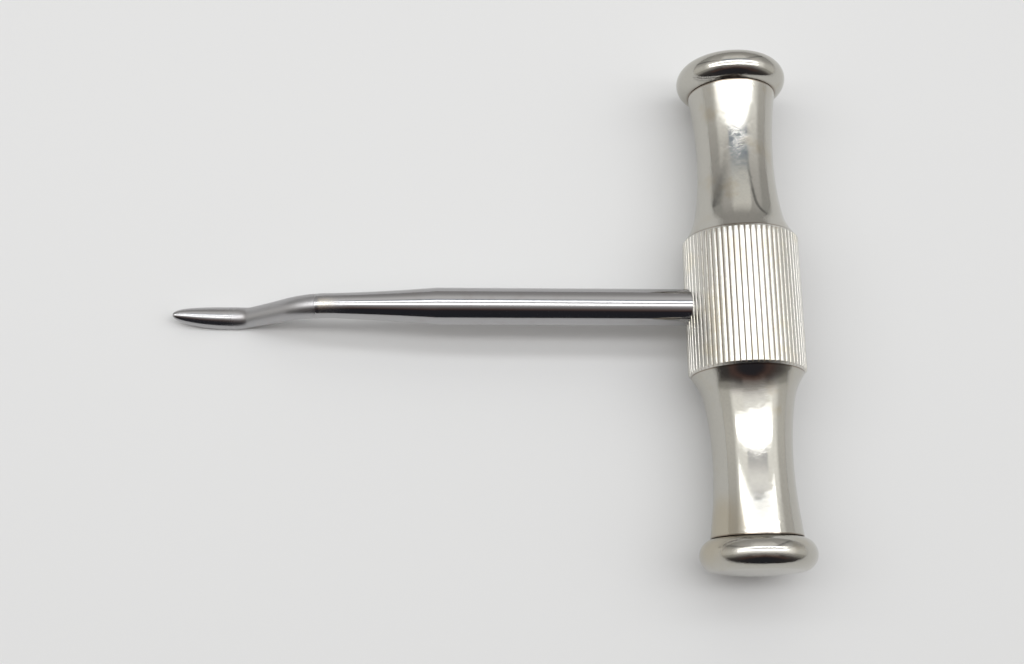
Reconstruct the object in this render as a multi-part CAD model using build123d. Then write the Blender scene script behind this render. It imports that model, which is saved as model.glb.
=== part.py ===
"""Crossbar dental elevator: a cranked steel tool held in a reeded T handle."""
from build123d import *
import math
import os

# Millimetres, +Z up. The instrument lies at rest on a table at z = 0. The origin is on
# the table, straight below the middle of the handle. The handle lies along Y and the
# tool points along -X. Left is -Y, for someone who points the blade away from themselves.

# Barrel, the reeded middle of the handle
barrel_diameter = 20.0      # over the reeds
barrel_length = 24.1
reed_count = 64
reed_depth = 0.36
barrel_chamfer = 0.42       # bevels the ends of the reeds
core_width = 10.0           # solid middle left between the two stud holes

# Arms, the waisted tubes beside the barrel
arm_length = 27.5
arm_flare_diameter = 16.1
arm_flare_offset = 3.3      # from the barrel's face
arm_waist_diameter = 13.45
arm_waist_offset = 14.2     # from the barrel's face
arm_end_diameter = 15.4     # at the cap
arm_root_slope = 42.0       # degrees, how steeply the flare meets the barrel
arm_end_slope = 8.0         # degrees, how the tube opens towards the cap
arm_bore_diameter = 10.6

# Spigots of the barrel and caps, which centre the arms
spigot_clearance = 0.03     # per side
barrel_spigot_length = 2.5
cap_spigot_length = 3.5

# End caps
cap_inset = 0.32            # the rim's crown lies this far inside the reeds' crests
cap_rim_radius = 2.8        # the rim is half round
cap_dome_height = 0.58      # end of the cap above the rim's crown
cap_wall = 1.8              # between the stud hole and the cap's end

# Studs that draw the caps and arms against the barrel
stud_diameter = 5.0
stud_clearance = 0.03       # per side, in the threads
stud_end_gap = 0.3          # at each end of a stud, in its hole
stud_chamfer = 0.4

# Tool: shank and tang
shank_diameter = 6.35
tang_clearance = 0.02       # per side, in the barrel's cross bore
tang_past_centre = 4.5      # how far the tang reaches beyond the handle's axis
tang_chamfer = 0.5
taper_start = 52.9          # from the handle's axis
neck_start = 70.5           # from the handle's axis
neck_diameter = 4.24        # where the taper meets the neck
neck_ledge = 0.03           # the neck starts this much inside the taper's end
taper_hollow = 0.11         # how far the taper's outline sags below a straight cone

# Tool: cranked neck, seen from the side as two bends with a straight slope between
neck_angle = 36.6           # degrees
neck_bend_radius = 12.6
neck_slope_length = 8.5
heel_bend_radius = 5.3
neck_waist_width = 3.56     # at the foot of the slope
neck_waist_rise = 1.7       # section above the line of the widest points
neck_waist_depth = 1.05     # section below that line
neck_steps = 12             # lengths between sections, along the neck

# Tool: tongue blade, convex above and nearly flat below, swept up towards its tip
blade_width = 4.0
blade_rise = 1.95
blade_depth = 0.15
blade_length = 10.75        # from the widest point to the tip, along the sweep
blade_sweep_radius = 24.2
blade_point_power = 2.15    # 2 is an ellipse, more is fuller
blade_tip_cut = 0.03        # the blunt tip stops this far short of the outline's point
blade_steps = 14            # lengths between sections, along the blade

# Dowel through the barrel's core and the tang
pin_diameter = 2.0
pin_clearance = 0.02        # per side
pin_setback = 0.2           # below the stud hole's bottom, at each end

# Sizes that follow from the ones above
barrel_radius = barrel_diameter / 2
barrel_face = barrel_length / 2
arm_root_diameter = barrel_diameter - 2 * barrel_chamfer
arm_end = barrel_face + arm_length
spigot_diameter = arm_bore_diameter - 2 * spigot_clearance
cap_diameter = barrel_diameter - 2 * cap_inset
cap_height = 2 * cap_rim_radius + cap_dome_height
stud_hole_diameter = stud_diameter + 2 * stud_clearance
stud_hole_start = core_width / 2
stud_hole_end = arm_end + cap_height - cap_wall
pin_hole_diameter = pin_diameter + 2 * pin_clearance

# Half width, rise and depth of the tool's section at three places
neck_section = (neck_diameter / 2 - neck_ledge,) * 3
waist_section = (neck_waist_width / 2, neck_waist_rise, neck_waist_depth)
blade_section = (blade_width / 2, blade_rise, blade_depth)


def reeded_outline():
    """Closed outline of the barrel: one arc per reed, bulging between two grooves."""
    groove_radius = barrel_radius - reed_depth
    half_pitch = 180 / reed_count
    arcs = []
    for reed in range(reed_count):
        crest = 2 * half_pitch * reed
        arcs.append(
            ThreePointArc(
                polar_point(groove_radius, crest - half_pitch),
                polar_point(barrel_radius, crest),
                polar_point(groove_radius, crest + half_pitch),
            )
        )
    return make_face(arcs)


def polar_point(radius, degrees):
    """Point at a radius and an angle in a sketch."""
    angle = math.radians(degrees)
    return (radius * math.cos(angle), radius * math.sin(angle))


def turned(outline):
    """Body of revolution about the handle's axis, from an outline of radius and distance."""
    return revolve(outline, axis=Axis.Y)


def on_both_sides(piece):
    """A right-hand piece and its left-hand twin, turned half round about Z."""
    return {"right": piece, "left": Rot(0, 0, 180) * piece}


def rod(diameter, start, end):
    """Plain round rod on the handle's axis."""
    radius = diameter / 2
    return turned(make_face(Polyline((0, start), (radius, start), (radius, end), (0, end), close=True)))


def bevelled_rod(diameter, start, end, bevel):
    """Round rod on the handle's axis, bevelled at both ends."""
    radius = diameter / 2
    outline = Polyline(
        (0, start),
        (radius - bevel, start),
        (radius, start + bevel),
        (radius, end - bevel),
        (radius - bevel, end),
        (0, end),
        close=True,
    )
    return turned(make_face(outline))


def barrel():
    """Reeded bar with bevelled ends, a spigot and stud hole each way, and the cross bore."""
    reeds = extrude(Plane.XZ * reeded_outline(), amount=barrel_face, both=True)
    body = reeds & bevelled_rod(barrel_diameter, -barrel_face, barrel_face, barrel_chamfer)
    spigot_end = barrel_face + barrel_spigot_length
    body += rod(spigot_diameter, -spigot_end, spigot_end)
    for stud_hole in on_both_sides(rod(stud_hole_diameter, stud_hole_start, spigot_end)).values():
        body -= stud_hole
    body -= rod(pin_hole_diameter, -stud_hole_start, stud_hole_start)
    cross_bore = Plane.YZ * Circle(shank_diameter / 2 + tang_clearance)
    bore_length = barrel_diameter + tang_past_centre
    return body - Pos(tang_past_centre, 0, 0) * extrude(cross_bore, amount=-bore_length)


def arm():
    """Waisted tube between the barrel's face and the cap."""
    root = (arm_root_diameter / 2, barrel_face)
    flare = (arm_flare_diameter / 2, barrel_face + arm_flare_offset)
    waist = (arm_waist_diameter / 2, barrel_face + arm_waist_offset)
    end = (arm_end_diameter / 2, arm_end)
    bore_radius = arm_bore_diameter / 2
    root_slope = math.radians(arm_root_slope)
    end_slope = math.radians(arm_end_slope)
    outside = Spline(
        root,
        flare,
        waist,
        end,
        tangents=[
            (-math.sin(root_slope), math.cos(root_slope)),
            (math.sin(end_slope), math.cos(end_slope)),
        ],
    )
    inside = Polyline(end, (bore_radius, arm_end), (bore_radius, barrel_face), root)
    return turned(make_face([outside, inside]))


def cap():
    """Bun-shaped cap: spigot, flat seat, half-round rim and a shallow domed end."""
    rim_centre_radius = cap_diameter / 2 - cap_rim_radius
    rim_centre = arm_end + cap_rim_radius
    cap_end = arm_end + cap_height
    # The dome is the arc about the axis that is tangent to the rim's circle
    dome_radius = (rim_centre_radius**2 + cap_height**2 - 2 * cap_height * cap_rim_radius) / (
        2 * cap_dome_height
    )
    lean = math.asin(rim_centre_radius / (dome_radius - cap_rim_radius))
    dome_edge = (
        rim_centre_radius + cap_rim_radius * math.sin(lean),
        rim_centre + cap_rim_radius * math.cos(lean),
    )
    dome_middle = (
        dome_radius * math.sin(lean / 2),
        cap_end - dome_radius * (1 - math.cos(lean / 2)),
    )
    rim_crown = (cap_diameter / 2, rim_centre)
    spigot_radius = spigot_diameter / 2
    spigot_start = arm_end - cap_spigot_length
    outline = make_face(
        [
            Polyline((0, cap_end), (0, spigot_start), (spigot_radius, spigot_start)),
            Polyline(
                (spigot_radius, spigot_start), (spigot_radius, arm_end), (rim_centre_radius, arm_end)
            ),
            ThreePointArc((rim_centre_radius, arm_end), rim_crown, dome_edge),
            ThreePointArc(dome_edge, dome_middle, (0, cap_end)),
        ]
    )
    return turned(outline) - rod(stud_hole_diameter, spigot_start, stud_hole_end)


def stud():
    """Threaded rod from the barrel's core to the cap, modelled without its threads."""
    start = stud_hole_start + stud_end_gap
    end = stud_hole_end - stud_end_gap
    return bevelled_rod(stud_diameter, start, end, stud_chamfer)


def tang_pin():
    """Dowel on the handle's axis, through the barrel's core and the tang."""
    reach = stud_hole_start - pin_setback
    return rod(pin_diameter, -reach, reach)


def shank():
    """Tang, straight shank and taper, turned about X."""
    radius = shank_diameter / 2
    neck_radius = neck_diameter / 2
    taper_middle = (
        -(taper_start + neck_start) / 2,
        (radius + neck_radius) / 2 - taper_hollow,
    )
    outline = make_face(
        [
            ThreePointArc((-neck_start, neck_radius), taper_middle, (-taper_start, radius)),
            Polyline(
                (-taper_start, radius),
                (tang_past_centre - tang_chamfer, radius),
                (tang_past_centre, radius - tang_chamfer),
                (tang_past_centre, 0),
                (-neck_start, 0),
                (-neck_start, neck_radius),
            ),
        ]
    )
    return revolve(outline, axis=Axis.X)


def side_line():
    """Line of the widest points, seen from the side: bend, slope, heel and blade."""
    with BuildLine(Plane.XZ) as line:
        bend = JernArc((-neck_start, 0), (-1, 0), neck_bend_radius, neck_angle)
        slope = Line(bend @ 1, bend @ 1 + neck_slope_length * (bend % 1))
        heel = JernArc(slope @ 1, slope % 1, heel_bend_radius, -neck_angle)
        blade_turn = math.degrees(blade_length / blade_sweep_radius)
        blade = JernArc(heel @ 1, heel % 1, blade_sweep_radius, -blade_turn)
    return bend, slope, heel, blade


def eased(start, end, share):
    """Value between two others, level at both ends."""
    return start + (end - start) * share * share * (3 - 2 * share)


def section(line, share, half_width, rise, depth):
    """Face across the tool: a half ellipse above the widest points and one below."""
    handle = 4 * (math.sqrt(2) - 1) / 3  # of a curve that follows a quarter circle
    right = (half_width, 0)
    top = (0, rise)
    left = (-half_width, 0)
    bottom = (0, -depth)
    outline = [
        Bezier(right, (half_width, handle * rise), (handle * half_width, rise), top),
        Bezier(top, (-handle * half_width, rise), (-half_width, handle * rise), left),
        Bezier(left, (-half_width, -handle * depth), (-handle * half_width, -depth), bottom),
        Bezier(bottom, (handle * half_width, -depth), (half_width, -handle * depth), right),
    ]
    plane = Plane(line @ share, x_dir=(0, -1, 0), z_dir=line % share)
    return plane * make_face(outline)


def station(lines, distance):
    """The line, and the share of its length, at a distance along a run of lines."""
    for line in lines[:-1]:
        if distance < line.length:
            return line, distance / line.length
        distance -= line.length
    return lines[-1], distance / lines[-1].length


def neck():
    """Loft along the bend, slope and heel, from the round neck to the blade's widest place."""
    bend, slope, heel, _ = side_line()
    crank_length = bend.length + slope.length
    faces = []
    for step in range(neck_steps + 1):
        distance = (crank_length + heel.length) * step / neck_steps
        if distance < crank_length:
            share = distance / crank_length
            sizes = [eased(a, b, share) for a, b in zip(neck_section, waist_section)]
        else:
            share = (distance - crank_length) / heel.length
            sizes = [eased(a, b, share) for a, b in zip(waist_section, blade_section)]
        line, place = station((bend, slope, heel), distance)
        faces.append(section(line, place, *sizes))
    return loft(faces)


def blade():
    """Loft along the swept line, with a superellipse tongue for its outline."""
    line = side_line()[-1]
    blunt_end = 1 - blade_tip_cut / blade_length
    faces = []
    for step in range(blade_steps + 1):
        # Steps shorten smoothly towards the tip, where the outline turns fastest
        share = blunt_end * math.sin(math.pi / 2 * step / blade_steps)
        fullness = (1 - share**blade_point_power) ** (1 / blade_point_power)
        faces.append(section(line, share, *(size * fullness for size in blade_section)))
    return loft(faces)


def tool():
    """The whole steel tool with the cross hole for the dowel in its tang."""
    return shank() + neck() + blade() - rod(pin_hole_diameter, -shank_diameter, shank_diameter)


def rest_tilt(steel):
    """Dip that brings the tool's lowest point level with the bottom of the barrel."""
    blade_reach = -steel.bounding_box().min.X
    tilt = 0.0
    for _ in range(4):
        lowest = (Rot(0, -tilt, 0) * steel).bounding_box().min.Z
        tilt += math.degrees(math.atan((barrel_radius + lowest) / blade_reach))
    return tilt


steel_tool = tool()
pieces = {"tool": steel_tool, "barrel": barrel(), "tang_pin": tang_pin()}
for name, piece in (("arm", arm()), ("cap", cap()), ("stud", stud())):
    for side, placed in on_both_sides(piece).items():
        pieces[f"{side}_{name}"] = placed

at_rest = Pos(0, 0, barrel_radius) * Rot(0, -rest_tilt(steel_tool), 0)
os.makedirs("parts", exist_ok=True)
for name, piece in pieces.items():
    placed = at_rest * piece
    placed.label = name
    export_step(placed, f"parts/{name}.step")
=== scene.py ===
"""Crossbar dental elevator: a cranked steel tool held in a reeded, plated T handle."""
import math

import bpy
import numpy as np
from mathutils import Matrix, Vector


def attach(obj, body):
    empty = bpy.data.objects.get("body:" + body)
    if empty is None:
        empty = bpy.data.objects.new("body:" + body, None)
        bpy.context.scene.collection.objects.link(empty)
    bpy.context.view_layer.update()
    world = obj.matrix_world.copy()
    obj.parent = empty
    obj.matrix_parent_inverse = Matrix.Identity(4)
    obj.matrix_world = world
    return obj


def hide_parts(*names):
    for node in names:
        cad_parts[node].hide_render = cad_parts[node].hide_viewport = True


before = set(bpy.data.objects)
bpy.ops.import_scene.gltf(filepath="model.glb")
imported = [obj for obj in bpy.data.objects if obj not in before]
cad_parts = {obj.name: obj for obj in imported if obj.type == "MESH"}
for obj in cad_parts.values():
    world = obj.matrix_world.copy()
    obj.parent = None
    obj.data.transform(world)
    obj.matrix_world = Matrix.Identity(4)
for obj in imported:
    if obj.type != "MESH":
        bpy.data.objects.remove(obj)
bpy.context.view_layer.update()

# Tool
# One bar of stainless steel: turned shank and taper, forged and ground neck, and a tongue
# blade that is convex above and nearly flat below. Its tang goes through the barrel's cross
# bore, and the whole instrument lies with the heel of the blade on the table.
mm = 0.001
handle_height = 10.0 * mm       # the handle's axis above the table
dip = math.radians(0.7301)      # the shank runs down towards the blade
shank_radius = 3.175 * mm
tang_past_centre = 4.5 * mm
tang_chamfer = 0.5 * mm
taper_start = 52.9 * mm
neck_start = 70.5 * mm
neck_radius = 2.12 * mm
taper_hollow = 0.11 * mm
neck_angle = math.radians(36.6)
neck_bend_radius = 12.6 * mm
neck_slope_length = 8.5 * mm
heel_bend_radius = 5.3 * mm
blade_length = 10.75 * mm
blade_sweep_radius = 24.2 * mm
blade_point_power = 2.15
blade_tip_cut = 0.03 * mm
waist_section = np.array([1.78, 1.7, 1.05]) * mm        # half width, rise and depth
blade_section = np.array([2.0, 1.95, 0.15]) * mm
crease_place = 72.9 * mm        # where the ground neck meets the polished shank
crease_lean = 0.35              # how far it moves along the tool for each unit of height
crease_width = 0.10 * mm
crease_depth = 0.035 * mm
crease_rise = 1.4               # how soon it reaches its full depth above the widest points
tool_round = 160                # points round the tool
shank_rows = 40
taper_rows = 60
neck_rows = 320
blade_rows = 140
line_steps = 4000               # steps in the running sum along the neck's line
sharp_edge = math.radians(32)   # a larger angle between faces is drawn as an edge


def at_rest(points):
    """Handle-frame points (shank level, origin on the handle's axis) in the table's frame."""
    x, y, z = np.moveaxis(points, -1, 0)
    low = x * math.sin(dip) + z * math.cos(dip) + handle_height
    return np.stack([x * math.cos(dip) - z * math.sin(dip), y, low], axis=-1)


def skin(name, points, joined_ends=False):
    """Closed mesh from a grid of points whose columns run all the way round.

    With joined ends the last row meets the first, as on a tube. Otherwise the first and last
    rows are poles, each a single point. The sum of the corners' triple products is six times
    the volume, so where it is negative the faces are turned to point outwards."""
    rows, columns = points.shape[:2]
    vertices = points.reshape(-1, 3)
    ring = np.arange(columns)
    following = (ring + 1) % columns
    if joined_ends:
        row = np.arange(rows)[:, None]
        start = row * columns
        above = (row + 1) % rows * columns
        caps = np.zeros((0, 3), int)
    else:
        vertices = np.concatenate([vertices[:1], vertices[columns:-columns], vertices[-1:]])
        start = 1 + np.arange(rows - 3)[:, None] * columns
        above = start + columns
        last = len(vertices) - 1
        top = last - columns
        caps = np.concatenate([
            np.stack([np.zeros_like(ring), 1 + following, 1 + ring], axis=-1),
            np.stack([np.full_like(ring, last), top + ring, top + following], axis=-1),
        ])
    corners = [start + ring, start + following, above + following, above + ring]
    faces = np.stack(corners, axis=-1).reshape(-1, 4)
    triangles = np.concatenate([faces[:, [0, 1, 2]], faces[:, [0, 2, 3]], caps])
    a, b, c = (vertices[triangles[:, k]] for k in range(3))
    if np.einsum("ij,ij->i", a, np.cross(b, c)).sum() < 0:
        faces, caps = faces[:, ::-1], caps[:, ::-1]
    mesh = bpy.data.meshes.new(name)
    mesh.from_pydata(vertices.tolist(), [], faces.tolist() + caps.tolist())
    mesh.shade_smooth()
    mesh.set_sharp_from_angle(angle=sharp_edge)
    piece = bpy.data.objects.new(name, mesh)
    bpy.context.collection.objects.link(piece)
    return piece


def side_line(length):
    """Place and heading of the neck's line at lengths along it.

    The heading changes evenly along each bend, so it is interpolated between the joints, and
    the place is the running sum of its cosine and sine."""
    bends = [neck_bend_radius * neck_angle, neck_slope_length,
             heel_bend_radius * neck_angle, blade_length]
    joints = np.concatenate([[0.0], np.cumsum(bends)])
    headings = [0.0, neck_angle, neck_angle, 0.0, -blade_length / blade_sweep_radius]
    fine = np.linspace(0, joints[-1], line_steps + 1)
    heading = np.interp(fine, joints, headings)
    step = np.diff(fine)
    middle = (heading[1:] + heading[:-1]) / 2
    x = -neck_start - np.concatenate([[0.0], np.cumsum(np.cos(middle) * step)])
    z = -np.concatenate([[0.0], np.cumsum(np.sin(middle) * step)])
    place = np.stack([np.interp(length, fine, x), np.interp(length, fine, z)], axis=-1)
    return place, np.interp(length, joints, headings), joints


def eased(share):
    """0 to 1, level at both ends: three times the square less twice the cube."""
    share = np.clip(share, 0, 1)
    return share * share * (3 - 2 * share)


def shank_stations():
    """Distance from the handle's axis and radius, from the tang's end to the neck.

    The taper is a straight cone less a parabola, whose sag is greatest halfway."""
    taper = np.linspace(0, 1, taper_rows)
    sag = 4 * taper_hollow * taper * (1 - taper)
    distance = np.concatenate([
        [-tang_past_centre, -tang_past_centre, -tang_past_centre + tang_chamfer],
        np.linspace(-tang_past_centre + tang_chamfer, taper_start, shank_rows)[1:],
        taper_start + taper[1:-1] * (neck_start - taper_start),
    ])
    radius = np.concatenate([
        [0.0, shank_radius - tang_chamfer, shank_radius],
        np.full(shank_rows - 1, shank_radius),
        shank_radius + (neck_radius - shank_radius) * taper[1:-1] - sag[1:-1],
    ])
    return distance, radius


def tool_points():
    """Grid of the tool: rings of two half ellipses, one above the widest points and one below.

    The sections go smoothly from round to waist to blade. The blade's outline is the curve on
    which the sum of share along and share across, each to the blade's point power, is one."""
    distance, radius = shank_stations()
    shank_sizes = np.stack([radius, radius, radius], axis=-1)
    straight = np.stack([-distance, np.zeros_like(distance)], axis=-1)
    _, _, joints = side_line(np.zeros(1))
    crank, heel_end, end = joints[2], joints[3], joints[4]
    even = np.linspace(0, heel_end, neck_rows)
    to_tip = np.sin(np.linspace(0, np.pi / 2, blade_rows)[1:])
    quick = heel_end + (end - blade_tip_cut - heel_end) * to_tip
    length = np.concatenate([even, quick, quick[-1:]])
    place, heading, _ = side_line(length)
    round_section = np.full(3, neck_radius)
    to_waist = eased(length / crank)[:, None]
    to_blade = eased((length - crank) / (heel_end - crank))[:, None]
    along = np.clip((length - heel_end) / (end - heel_end), 0, 1)
    fullness = (1 - along**blade_point_power) ** (1 / blade_point_power)
    neck = round_section + (waist_section - round_section) * to_waist
    sizes = (neck + (blade_section - neck) * to_blade) * fullness[:, None]
    sizes[-1] = 0
    sizes = np.concatenate([shank_sizes, sizes])
    centres = np.concatenate([straight, place])
    lean = np.concatenate([np.zeros(len(distance)), heading])[:, None]
    angle = np.arange(tool_round) * 2 * np.pi / tool_round
    up = np.sin(angle)
    height = np.where(up > 0, sizes[:, 1:2], sizes[:, 2:3]) * up
    x = centres[:, :1] - height * np.sin(lean)
    z = centres[:, 1:] + height * np.cos(lean)
    y = sizes[:, :1] * np.cos(angle)
    # A shallow crease where the neck's grinding stops, leaning with the height
    from_crease = -x - crease_place - crease_lean * (z - centres[:, 1:])
    deep = crease_depth * np.clip(crease_rise * up, 0, 1)
    pinch = deep * np.exp(-(from_crease / crease_width) ** 2)
    shrink = 1 - pinch / np.maximum(sizes[:, :1], neck_radius / 2)
    y = y * shrink
    z = centres[:, 1:] + (z - centres[:, 1:]) * shrink
    return at_rest(np.stack([x, y, z], axis=-1))


tool = skin("steel_tool", tool_points())
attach(tool, "root")
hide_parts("tool")


class Shade:
    """A socket in a node tree. Arithmetic on it adds Math nodes."""

    def __init__(self, tree, socket):
        self.tree = tree
        self.socket = socket

    @classmethod
    def node(cls, tree, kind, settings, inputs, output=0):
        """Any node: its settings first, then the values or links of its sockets.

        A ramp's stops are pairs of place and colour. They are all made in order and then
        coloured, because each one that moves would change the order."""
        made = tree.nodes.new(kind)
        for key, value in settings.items():
            if key == "stops":
                elements = made.color_ramp.elements
                for place, _ in value[1:-1]:
                    elements.new(place)
                for element, (_, colour) in zip(elements, value):
                    element.color = colour
            else:
                setattr(made, key, value)
        for slot, value in inputs.items():
            plug(made.inputs[slot], value)
        return cls(tree, made.outputs[output])

    def math(self, operation, *others):
        """Result of one Math node with this value first."""
        inputs = dict(enumerate((self, *others)))
        return Shade.node(self.tree, "ShaderNodeMath", {"operation": operation}, inputs)

    def __add__(self, other):
        return self.math("ADD", other)

    def __sub__(self, other):
        return self.math("SUBTRACT", other)

    def __rsub__(self, other):
        return self * -1.0 + other

    def __mul__(self, other):
        return self.math("MULTIPLY", other)

    def __truediv__(self, other):
        return self.math("DIVIDE", other)

    __radd__ = __add__
    __rmul__ = __mul__

    def ramp(self, start, end):
        """0 below start, 1 above end and smooth between; either may be the larger."""
        return Shade.node(self.tree, "ShaderNodeMapRange", {"interpolation_type": "SMOOTHSTEP"},
                          {"Value": self, "From Min": start, "From Max": end})


def plug(slot, value):
    """Links a shade to a socket, or sets the socket to a number, vector or colour."""
    if isinstance(value, Shade):
        value.tree.links.new(value.socket, slot)
    else:
        slot.default_value = value


def noise(place, scale, detail=2.0, rough=0.5):
    """Noise value at a place, about 0.5 on average. Scale is in grains to the metre."""
    return Shade.node(place.tree, "ShaderNodeTexNoise", {},
                      {"Vector": place, "Scale": scale, "Detail": detail, "Roughness": rough})


def stretch(place, shares):
    """Place with its x, y and z each multiplied by a share, which stretches a pattern."""
    return Shade.node(place.tree, "ShaderNodeMapping", {}, {"Vector": place, "Scale": shares})


def blend(amount, one, two):
    """Colour between two colours, by an amount from 0 to 1.

    The sockets are numbered because the Mix node has one set for each kind of value."""
    return Shade.node(amount.tree, "ShaderNodeMix", {"data_type": "RGBA"},
                      {0: amount, 6: one, 7: two}, output=2)


def parts_of(place):
    """The x, y and z of a vector, as three shades."""
    first = Shade.node(place.tree, "ShaderNodeSeparateXYZ", {}, {"Vector": place})
    return [Shade(place.tree, slot) for slot in first.socket.node.outputs]


def metal(name):
    """A material with a bare metal shader: the material, the shader and object coordinates."""
    material = bpy.data.materials.new(name)
    material.use_nodes = True
    shader = material.node_tree.nodes["Principled BSDF"]
    shader.inputs["Metallic"].default_value = 1.0
    place = Shade.node(material.node_tree, "ShaderNodeTexCoord", {}, {}, output="Object")
    return material, shader, place


def finish(shader, colour, roughness, height, strength, distance):
    """Gives a shader its colour and roughness, and a bump from a height over a distance."""
    plug(shader.inputs["Base Color"], colour)
    plug(shader.inputs["Roughness"], roughness)
    bump = Shade.node(height.tree, "ShaderNodeBump", {},
                      {"Strength": strength, "Distance": distance, "Height": height})
    plug(shader.inputs["Normal"], bump)


steel_colour = (0.435, 0.430, 0.435, 1)
steel_tint = (0.62, 0.57, 0.49, 1)
steel_stain = (0.36, 0.33, 0.32, 1)
# Places along and across the tool, each where an edge starts and where it is complete
tint_left = (-73.1 * mm, -72.7 * mm)
tint_right = (-69.0 * mm, -72.2 * mm)
tint_front = (-1.9 * mm, -0.8 * mm)
tint_back = (1.2 * mm, 0.1 * mm)
satin_left = (-73.1 * mm, -72.5 * mm)
satin_right = (-65.5 * mm, -71.0 * mm)
satin_front = (-2.1 * mm, -1.2 * mm)
dull_neck_right = (-72.8 * mm, -73.8 * mm)
dull_neck_left = (-90.5 * mm, -84.0 * mm)
dull_blade = (-84.0 * mm, -88.0 * mm)


def ground_steel():
    """Polished steel with fine lengthwise grinding, duller on the neck and the blade.

    On the handle's side of the crease are a satin stretch and a straw-coloured spot."""
    material, shader, place = metal("ground_steel")
    x, y, _ = parts_of(place)
    lengthwise = stretch(place, (0.04, 1.0, 1.0))
    lines = noise(lengthwise, 9000.0, detail=3.0, rough=0.6)
    broad = noise(lengthwise, 900.0)
    grit = noise(place, 5200.0, rough=0.6)
    cloud = noise(place, 260.0, detail=3.0, rough=0.55)
    spot = x.ramp(*tint_left) * x.ramp(*tint_right) * (y.ramp(*tint_front) * y.ramp(*tint_back))
    satin = x.ramp(*satin_left) * x.ramp(*satin_right) * y.ramp(*satin_front)
    neck = x.ramp(*dull_neck_right) * x.ramp(*dull_neck_left)
    blade = x.ramp(*dull_blade)
    tinted = blend(spot * 0.7, steel_colour, steel_tint)
    colour = blend(cloud.ramp(0.52, 0.72) * 0.25, tinted, steel_stain)
    roughness = 0.05 + broad * 0.07 + cloud * 0.03 + satin * 0.16 + neck * 0.24 + blade * 0.10
    height = lines * 0.6 + grit * (0.15 + satin * 1.2 + neck * 0.3)
    finish(shader, colour, roughness, height, strength=0.25, distance=0.01 * mm)
    return material


tool.data.materials.append(ground_steel())

# Dowel and studs
# A dowel on the handle's axis pins the tang in the barrel's core, and a threaded rod each
# side draws the arm and the cap against the barrel. All of it is plain turned steel, out of
# sight inside the handle.
inner_dark = (0.50, 0.50, 0.51, 1)
inner_light = (0.62, 0.61, 0.60, 1)
tool_marks = 12000.0            # radians of the turning marks' wave to the metre


def turned_steel():
    """Plain turned steel: fine rings round the handle's axis, a sine wave along it."""
    material, shader, place = metal("turned_steel")
    _, y, _ = parts_of(place)
    rings = (y * tool_marks).math("SINE")
    shade = noise(place, 700.0)
    colour = blend(shade, inner_dark, inner_light)
    finish(shader, colour, 0.28 + shade * 0.12, rings, strength=0.3, distance=0.02 * mm)
    return material


inner_steel = turned_steel()
for node in ("tang_pin", "left_stud", "right_stud"):
    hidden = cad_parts[node]
    hidden.data.materials.clear()
    hidden.data.materials.append(inner_steel)

# Barrel
# The middle of the handle is bar stock with straight reeds knurled all round, bevelled at
# both ends and plated. A spigot each way centres the arm, and a stud screws into each end.
barrel_radius = 10.0 * mm
barrel_face = 12.05 * mm
reed_count = 64
reed_depth = 0.36 * mm
barrel_chamfer = 0.42 * mm
core_half = 5.0 * mm
spigot_radius = 5.27 * mm
barrel_spigot_end = 14.55 * mm
stud_hole_radius = 2.53 * mm
crown_share = 0.84              # of each reed's width
crown_angle = math.radians(20)  # lean of the crown at its edge
points_per_reed = 16
bevel_rows = 9
body_rows = 25


def reed_radius(angle):
    """Barrel radius at an angle: each reed is a low crown between V-shaped grooves.

    The crown is an arc of radius r centred c from the axis, so that its outline at an angle a
    from the crest is c cos a + sqrt(r^2 - c^2 sin^2 a). The groove's sides are straight."""
    half_pitch = math.pi / reed_count
    off = np.abs((angle + half_pitch) % (2 * half_pitch) - half_pitch)
    half_crown = crown_share * half_pitch * barrel_radius
    arc = half_crown / math.sin(crown_angle)
    centre = barrel_radius - arc
    inside = np.minimum((centre * np.sin(off)) ** 2, arc**2)
    crown = centre * np.cos(off) + np.sqrt(arc**2 - inside)
    sag = arc * (1 - math.cos(crown_angle))
    side_share = (off / half_pitch - crown_share) / (1 - crown_share)
    side = barrel_radius - sag - (reed_depth - sag) * side_share
    return np.where(side_share < 0, crown, side)


def barrel_points():
    """Grid of the barrel, from the bottom of one stud hole to the bottom of the other.

    Rows run along the handle; each has a place and a greatest radius, and the reeds are cut
    only into what reaches out that far."""
    bevel = np.linspace(0, 1, bevel_rows)
    body = np.linspace(-1, 1, body_rows)[1:-1]
    half = [(core_half, 0), (core_half, stud_hole_radius), (barrel_spigot_end, stud_hole_radius),
            (barrel_spigot_end, spigot_radius), (barrel_face, spigot_radius)]
    rows = [(-place, radius) for place, radius in half]
    rows += [(-barrel_face + barrel_chamfer * share, barrel_radius - barrel_chamfer * (1 - share))
             for share in bevel]
    rows += [(share * (barrel_face - barrel_chamfer), barrel_radius) for share in body]
    rows += [(barrel_face - barrel_chamfer * share, barrel_radius - barrel_chamfer * (1 - share))
             for share in bevel[::-1]]
    rows += half[::-1]
    place, greatest = np.array(rows).T
    points_round = reed_count * points_per_reed
    angle = np.arange(points_round) * 2 * np.pi / points_round
    radius = np.minimum(greatest[:, None], reed_radius(angle)[None, :])
    y = np.broadcast_to(place[:, None], radius.shape)
    return at_rest(np.stack([radius * np.cos(angle), y, radius * np.sin(angle)], axis=-1))


barrel = skin("reeded_barrel", barrel_points())
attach(barrel, "root")
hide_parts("barrel")

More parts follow.
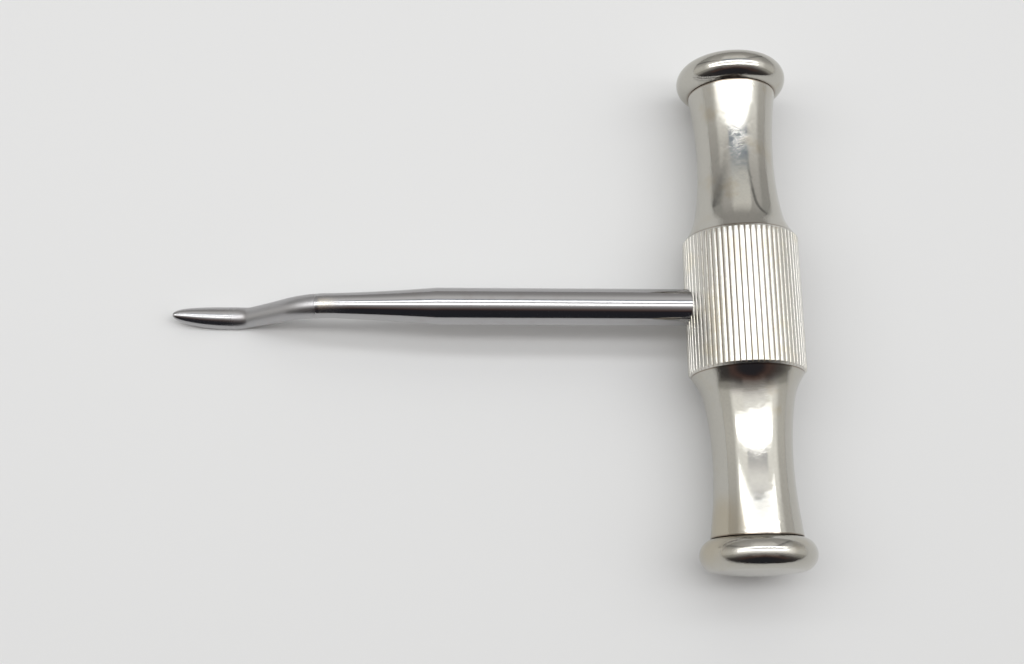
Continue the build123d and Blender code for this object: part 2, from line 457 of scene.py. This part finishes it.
barrel_plate = (0.66, 0.645, 0.60, 1)
barrel_yellowed = (0.66, 0.61, 0.49, 1)
groove_tarnish = (0.58, 0.48, 0.39, 1)
groove_top = 0.08 * mm          # tarnish starts this far below the reeds' crests
groove_bottom = 0.34 * mm       # and is complete here
bevel_clear = 0.1 * mm          # it fades out over the bevels, to none this near the faces


def plate_height(place, pits):
    """Height of worn plate: fine pits over a slight orange peel."""
    fine = noise(place, 5600.0, rough=0.6)
    broad = noise(place, 420.0)
    return broad * 0.12 + fine * pits


def reeded_plate():
    """Bright plate on the reeds, with brown tarnish down in the grooves."""
    material, shader, place = metal("reeded_plate")
    x, y, z = parts_of(place)
    up = z - handle_height
    radius = (x * x + up * up).math("SQRT")
    along = y.math("ABSOLUTE")
    depth = radius.ramp(barrel_radius - groove_top, barrel_radius - groove_bottom)
    depth = depth * along.ramp(barrel_face - bevel_clear, barrel_face - barrel_chamfer)
    streak = noise(stretch(place, (1.0, 0.12, 1.0)), 900.0, detail=3.0, rough=0.6)
    cloud = noise(place, 220.0, detail=3.0, rough=0.6)
    tarnish = (depth * (0.45 + streak * 0.9)).math("MINIMUM", 1.0)
    bright = blend(cloud.ramp(0.50, 0.68) * 0.5, barrel_plate, barrel_yellowed)
    colour = blend(tarnish, bright, groove_tarnish)
    roughness = 0.14 + depth * 0.30 + cloud * 0.06
    height = plate_height(place, 0.6)
    finish(shader, colour, roughness, height, strength=1.0, distance=0.05 * mm)
    return material


barrel.data.materials.append(reeded_plate())

# Arms
# Each arm is a turned and plated tube that flares to the barrel and narrows to a waist. It
# slides over the spigots of the barrel and the cap, and only the stud holds it.
arm_root_radius = 9.58 * mm
arm_flare_radius = 8.26 * mm
arm_flare_place = 14.5 * mm
arm_neck_radius = 7.52 * mm
arm_neck_place = 17.3 * mm
arm_waist_radius = 6.725 * mm
arm_waist_place = 26.25 * mm
arm_end_radius = 7.70 * mm
arm_end = 39.55 * mm
arm_bore_radius = 5.30 * mm
arm_root_slope = math.radians(29.5)
arm_end_slope = math.radians(8.0)
arm_rows = 180
turned_round = 256              # points round a turned piece


def arm_profile():
    """Smooth curve through root, flare, neck, waist and end, its slope set at both ends.

    Each stretch is a cubic in the length along the chords, and the slopes at the inner points
    make its curvature continuous."""
    points = np.array([[arm_root_radius, barrel_face], [arm_flare_radius, arm_flare_place],
                       [arm_neck_radius, arm_neck_place], [arm_waist_radius, arm_waist_place],
                       [arm_end_radius, arm_end]])
    root_heading = np.array([-math.sin(arm_root_slope), math.cos(arm_root_slope)])
    end_heading = np.array([math.sin(arm_end_slope), math.cos(arm_end_slope)])
    chord = np.linalg.norm(np.diff(points, axis=0), axis=1)
    knots = np.concatenate([[0.0], np.cumsum(chord)])
    rise = np.diff(points, axis=0) / chord[:, None]
    last = len(points) - 1
    system = np.eye(last + 1)
    target = np.concatenate([[root_heading], np.zeros((last - 1, 2)), [end_heading]])
    for k in range(1, last):
        system[k, k - 1:k + 2] = chord[k], 2 * (chord[k - 1] + chord[k]), chord[k - 1]
        target[k] = 3 * (chord[k] * rise[k - 1] + chord[k - 1] * rise[k])
    slope = np.linalg.solve(system, target)
    along = np.linspace(0, knots[-1], arm_rows)
    k = np.clip(np.searchsorted(knots, along, side="right") - 1, 0, last - 1)
    share = ((along - knots[k]) / chord[k])[:, None]
    reach = chord[k][:, None]
    from_start = (1 + 2 * share) * points[k] + share * reach * slope[k]
    from_end = (3 - 2 * share) * points[k + 1] + (share - 1) * reach * slope[k + 1]
    return (1 - share) ** 2 * from_start + share**2 * from_end


def turned(profile, side):
    """Grid of a profile of radius and distance turned about the handle's axis."""
    angle = np.arange(turned_round) * 2 * np.pi / turned_round
    radius, place = profile[:, :1], profile[:, 1:]
    rings = [radius * np.cos(angle), side * place + 0 * angle, radius * np.sin(angle)]
    return at_rest(np.stack(rings, axis=-1))


def arm_tube(name, node, side):
    """One arm: the outer profile, the two end faces and the bore, as one closed tube."""
    bore = np.array([[arm_bore_radius, arm_end], [arm_bore_radius, barrel_face]])
    piece = skin(name, turned(np.concatenate([arm_profile(), bore]), side), joined_ends=True)
    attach(piece, "root")
    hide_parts(node)
    return piece


plate_colour = (0.53, 0.515, 0.47, 1)
plate_worn = (0.48, 0.468, 0.43, 1)
plate_stain = (0.47, 0.41, 0.30, 1)
# Painted shade: a dark brown laid along the seams where two pieces meet
seam_shade_colour = (0.20, 0.15, 0.11, 1)
seam_reach = (0.30 * mm, 0.05 * mm)     # how far off a seam its painted shade starts and is complete
stain_place = (-8.0 * mm, -38.5 * mm, 13.0 * mm)
stain_reach = (9.5 * mm, 4.5 * mm)
stain_wander = 4.0 * mm                 # how far its edge strays


def worn_plate(name, seams):
    """Bright plate with fine pits, faint warm stains and painted shade along the seams.

    Seams are places along the handle where two pieces meet."""
    material, shader, place = metal(name)
    _, y, _ = parts_of(place)
    along = y.math("ABSOLUTE")
    # Painted shade, darkest on each seam and fading out over a fraction of a millimetre
    lines = [(along - seam).math("ABSOLUTE").ramp(*seam_reach) for seam in seams]
    painted_seam_shade = lines[0]
    for line in lines[1:]:
        painted_seam_shade = painted_seam_shade.math("MAXIMUM", line)
    cloud = noise(place, 160.0, detail=3.0, rough=0.6)
    fine = noise(place, 2600.0, detail=3.0, rough=0.65)
    from_stain = Shade.node(place.tree, "ShaderNodeVectorMath", {"operation": "DISTANCE"},
                            {0: place, 1: stain_place}, output="Value")
    spot = (from_stain + cloud * stain_wander).ramp(*stain_reach)
    stain = (cloud.ramp(0.56, 0.74) * 0.4 + spot * 0.6).math("MINIMUM", 1.0)
    clean = blend(fine.ramp(0.40, 0.70) * 0.5, plate_colour, plate_worn)
    colour = blend(painted_seam_shade * 0.8, blend(stain, clean, plate_stain), seam_shade_colour)
    roughness = 0.035 + fine * 0.035 + stain * 0.1
    height = plate_height(place, 0.12 + cloud.ramp(0.45, 0.58) * 0.30)
    finish(shader, colour, roughness, height, strength=1.0, distance=0.04 * mm)
    return material


arm_plate = worn_plate("arm_plate", (barrel_face, arm_end))
for name, node, side in (("left_arm_tube", "left_arm", -1), ("right_arm_tube", "right_arm", 1)):
    arm_tube(name, node, side).data.materials.append(arm_plate)

# Caps
# A bun-shaped cap closes each arm: a turned and plated knob with a fully round rim and a
# slightly domed end. Its spigot fits the arm's bore and takes the stud.
cap_radius = 9.68 * mm
cap_rim_radius = 2.8 * mm
cap_dome = 0.58 * mm
cap_wall = 1.8 * mm
cap_spigot_start = 36.05 * mm
cap_end = arm_end + 2 * cap_rim_radius + cap_dome
rim_rows = 90
dome_rows = 30


def cap_profile():
    """Radius and distance, from the bottom of the stud hole round the rim to the dome's top.

    The dome is an arc centred on the axis that is tangent to the rim's circle."""
    rim_centre = cap_radius - cap_rim_radius
    height = 2 * cap_rim_radius + cap_dome
    dome = (rim_centre**2 + height**2 - 2 * height * cap_rim_radius) / (2 * cap_dome)
    lean = math.asin(rim_centre / (dome - cap_rim_radius))
    around = np.linspace(-math.pi / 2, math.pi / 2 - lean, rim_rows)
    rim = np.stack([rim_centre + cap_rim_radius * np.cos(around),
                    arm_end + cap_rim_radius + cap_rim_radius * np.sin(around)], axis=-1)
    off_axis = np.linspace(lean, 0, dome_rows)[1:]
    top = np.stack([dome * np.sin(off_axis), cap_end - dome * (1 - np.cos(off_axis))], axis=-1)
    hole_end = cap_end - cap_wall
    inside = np.array([[0, hole_end], [stud_hole_radius, hole_end],
                       [stud_hole_radius, cap_spigot_start], [spigot_radius, cap_spigot_start],
                       [spigot_radius, arm_end]])
    return np.concatenate([inside, rim, top])


cap_plate = worn_plate("cap_plate", (arm_end,))
for name, node, side in (("left_end_cap", "left_cap", -1), ("right_end_cap", "right_cap", 1)):
    cap = skin(name, turned(cap_profile(), side))
    cap.data.materials.append(cap_plate)
    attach(cap, "root")
    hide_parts(node)

# Table
# A plain pale board, far larger than the view, on which the instrument lies and throws its
# shadow. It is matt, with only a faint shine.
table_half = 3.0
table_colour = (0.795, 0.80, 0.80, 1)
table_roughness = 0.8
table_shine = 0.2
table_mesh = bpy.data.meshes.new("table")
table_corners = [(-table_half, -table_half, 0), (table_half, -table_half, 0),
                 (table_half, table_half, 0), (-table_half, table_half, 0)]
table_mesh.from_pydata(table_corners, [], [(0, 1, 2, 3)])
table = bpy.data.objects.new("table", table_mesh)
bpy.context.collection.objects.link(table)
table_paint = bpy.data.materials.new("table_paint")
table_paint.use_nodes = True
paint = table_paint.node_tree.nodes["Principled BSDF"]
paint.inputs["Base Color"].default_value = table_colour
paint.inputs["Roughness"].default_value = table_roughness
paint.inputs["Specular IOR Level"].default_value = table_shine
table_mesh.materials.append(table_paint)

# Light
# Two long tubes hang over the table, one straight above and one further back. The room is
# pale at the back and the sides and dark at the front, which the bright metal shows.
tube_height = 0.35
tube_length = 0.82
tube_width = 0.050
tube_brightness = 3.0
tube_middle = -0.07
tube_power = tube_brightness * math.pi * tube_length * tube_width
for name, back in (("near_tube", -0.006), ("far_tube", 0.110)):
    lamp = bpy.data.lights.new(name, "AREA")
    lamp.shape = "RECTANGLE"
    lamp.size = tube_length
    lamp.size_y = tube_width
    lamp.energy = tube_power
    hung = bpy.data.objects.new(name, lamp)
    hung.location = (tube_middle, back, tube_height)
    bpy.context.collection.objects.link(hung)

world = bpy.data.worlds.new("room")
bpy.context.scene.world = world
world.use_nodes = True
room = world.node_tree
direction = Shade.node(room, "ShaderNodeTexCoord", {}, {}, output="Generated")
to_right, to_back, upward = parts_of(direction)
least_rise = 0.02               # keeps a level direction's slope within bounds
front_edge = (-0.25, -0.45)     # from here the dark front is lower at the sides
front_drop = 0.05
widest_drop = 1.2
rise = upward.math("MAXIMUM", least_rise)
to_side = to_right.math("ABSOLUTE") / rise
drop = to_side.math("MINIMUM", widest_drop) * to_back.ramp(*front_edge) * front_drop
lean = to_back * 0.5 + 0.5 + drop


def wall(stops):
    """Colour by how far a direction leans to the back: degrees from upright, and colour.

    The first stop is level with the front and the last is level with the back. A place on the
    ramp is half the sine of the degrees, and a half more."""
    places = [(0.5 + 0.5 * math.sin(math.radians(degrees)), (*colour, 1.0))
              for degrees, colour in stops]
    return Shade.node(room, "ShaderNodeValToRGB", {"stops": places}, {"Fac": lean})


overhead = wall([
    (-90, (0.028, 0.030, 0.036)), (-41, (0.032, 0.030, 0.036)), (-38, (0.065, 0.040, 0.035)),
    (-30, (0.17, 0.125, 0.115)), (-18, (0.36, 0.345, 0.34)), (-13, (0.66, 0.64, 0.63)),
    (-5, (1.45, 1.45, 1.45)), (4, (1.10, 1.10, 1.10)), (8, (0.72, 0.73, 0.76)),
    (11, (0.80, 0.80, 0.82)), (14, (1.40, 1.40, 1.40)), (17, (1.10, 1.10, 1.12)),
    (19, (0.42, 0.47, 0.56)), (24, (0.40, 0.46, 0.54)), (28, (0.62, 0.63, 0.63)),
    (31, (0.86, 0.86, 0.84)), (43, (0.90, 0.89, 0.86)), (66, (0.46, 0.45, 0.44)),
    (90, (0.42, 0.41, 0.40)),
])
beside = wall([
    (-90, (0.028, 0.030, 0.036)), (-41, (0.035, 0.032, 0.036)), (-36, (0.10, 0.062, 0.055)),
    (-31, (0.085, 0.062, 0.058)), (-26, (0.11, 0.097, 0.094)), (-21, (0.19, 0.18, 0.18)),
    (-17, (0.38, 0.365, 0.36)), (-13, (0.85, 0.83, 0.82)), (-8, (1.25, 1.24, 1.21)),
    (14, (1.25, 1.25, 1.23)), (20, (0.85, 0.84, 0.82)), (28, (0.66, 0.65, 0.64)),
    (60, (0.46, 0.45, 0.44)), (90, (0.42, 0.41, 0.40)),
])
low = wall([
    (-90, (0.04, 0.04, 0.045)), (-40, (0.045, 0.042, 0.042)), (-28, (0.08, 0.073, 0.072)),
    (-22, (0.17, 0.162, 0.155)), (-17, (0.38, 0.37, 0.35)), (-12, (0.66, 0.65, 0.62)),
    (5, (0.74, 0.73, 0.70)), (14, (0.66, 0.65, 0.63)), (26, (0.48, 0.47, 0.46)),
    (45, (0.42, 0.42, 0.41)), (90, (0.42, 0.41, 0.40)),
])
# Slopes to the side between which one colour gives way to the next
beside_edge = (0.45, 0.62)
low_edge = (1.30, 2.20)
# Two dark seams run up the back, where the ceiling meets the sides, steeper on the right
seam_width = (0.12, 0.03)
seam_fade = (0.30, 0.60)
seam_strength = 0.75
seam_colour = (0.10, 0.10, 0.10, 1)
seam_slope = to_right.math("SIGN") * 0.25 + 1.0
off_seam = (to_back / rise - to_side * seam_slope).math("ABSOLUTE") / (to_side + 0.5)
seam = off_seam.ramp(*seam_width) * to_back.ramp(*seam_fade) * seam_strength
middle = blend(to_side.ramp(*beside_edge), overhead, beside)
around = blend(to_side.ramp(*low_edge), middle, low)
background = room.nodes["Background"]
plug(background.inputs["Color"], blend(seam, around, seam_colour))
background.inputs["Strength"].default_value = 1.0

# Camera
# Held above the front of the table and a little to the left, looking down on the whole
# instrument.
picture_width = 1024            # in pixels, and the focal length too
focal_length = 1305.25
sensor_width = 36.0
yaw = 0.0127596
pitch = -0.261875
roll = 0.0654694
from_handle = Vector((-0.05404, -0.06191, 0.21375))     # with the shank level
half_pixel = Matrix.Rotation(-0.5 / focal_length, 3, "Y")
turn = Matrix.Rotation(yaw, 3, "Z") @ Matrix.Rotation(pitch, 3, "X") @ Matrix.Rotation(roll, 3, "Y")
level_to_rest = Matrix.Rotation(-dip, 3, "Y")
aim = level_to_rest @ (half_pixel @ turn).transposed()
camera_data = bpy.data.cameras.new("camera")
camera_data.sensor_width = sensor_width
camera_data.lens = focal_length / picture_width * sensor_width
camera_data.clip_start = 0.005
camera = bpy.data.objects.new("camera", camera_data)
bpy.context.collection.objects.link(camera)
seen_from = level_to_rest @ from_handle + Vector((0, 0, handle_height))
camera.matrix_world = Matrix.Translation(seen_from) @ aim.to_4x4()
bpy.context.scene.camera = camera
bpy.context.scene.view_settings.view_transform = "Standard"
